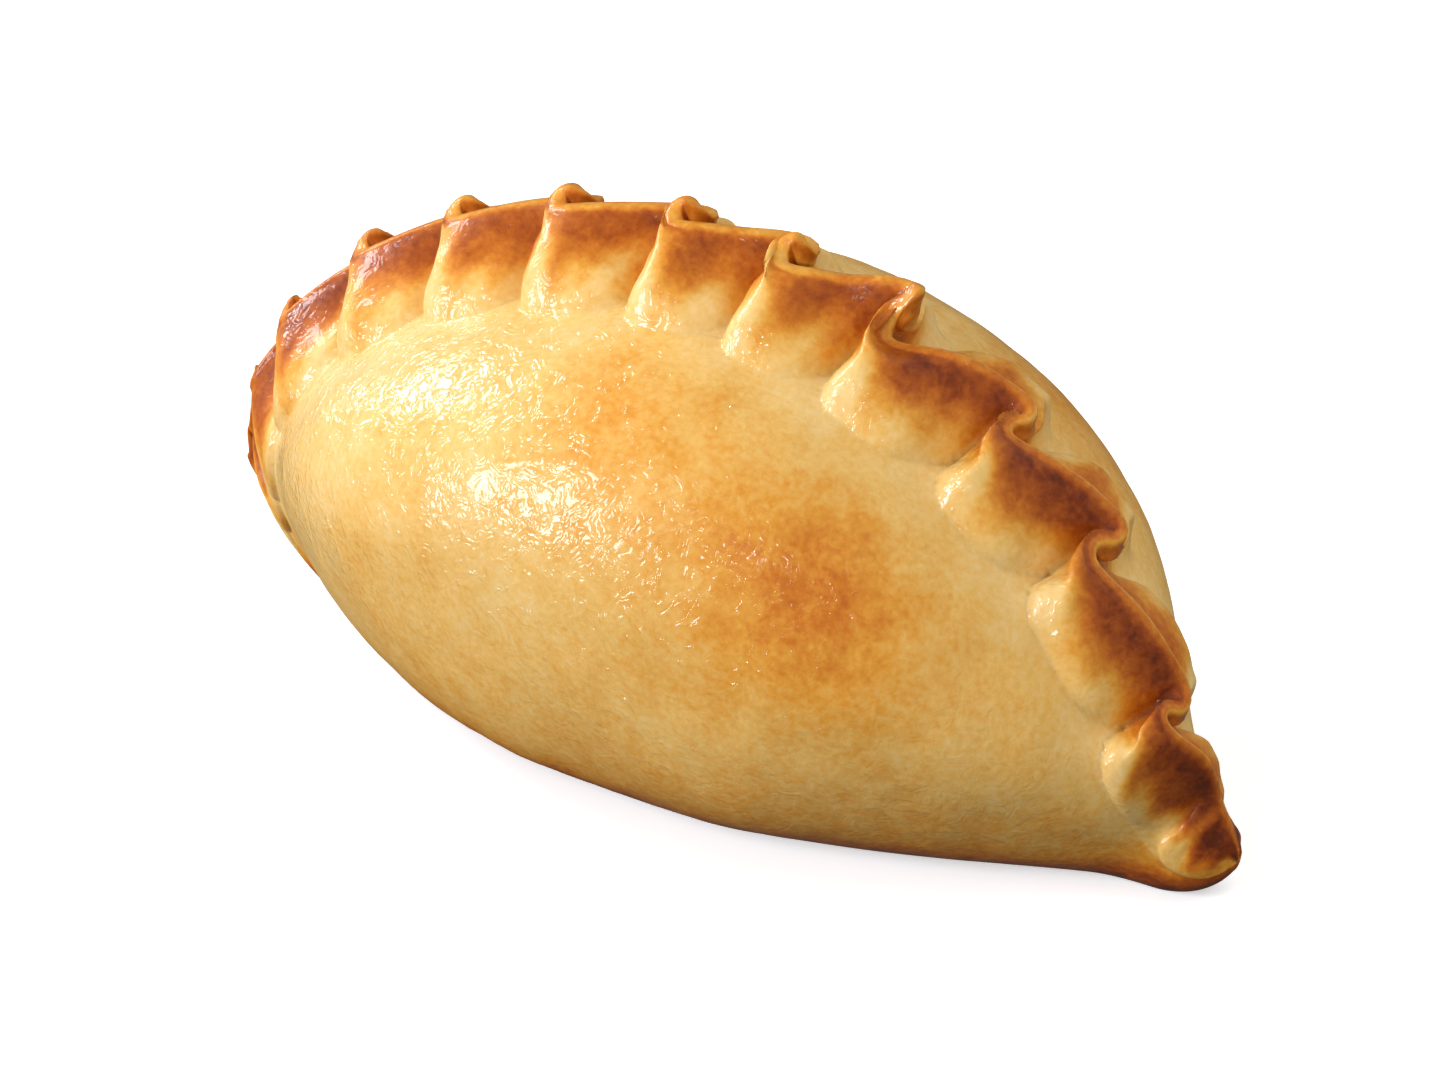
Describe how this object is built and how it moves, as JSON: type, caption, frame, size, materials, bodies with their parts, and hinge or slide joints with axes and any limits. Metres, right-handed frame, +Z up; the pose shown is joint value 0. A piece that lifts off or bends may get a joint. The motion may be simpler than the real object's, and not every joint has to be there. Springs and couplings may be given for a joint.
{
  "type": "baked empanada",
  "caption": "Plump baked half-moon pastry standing on a flat base, with a folded crimped seam arching over its top from tip to tip.",
  "frame": {"origin": "centre of the bounding box at the base, where the pastry rests", "axes": "+X along the pastry from its blunt end to its drawn-out tip, -Y the front shown in the picture, +Z up"},
  "size_m": [0.1396, 0.0698, 0.0669],
  "materials": {
    "baked_dough": "glossy egg wash over golden baked dough"
  },
  "bodies": {
    "root": {"empanada": "baked_dough"}
  },
  "joints": []
}
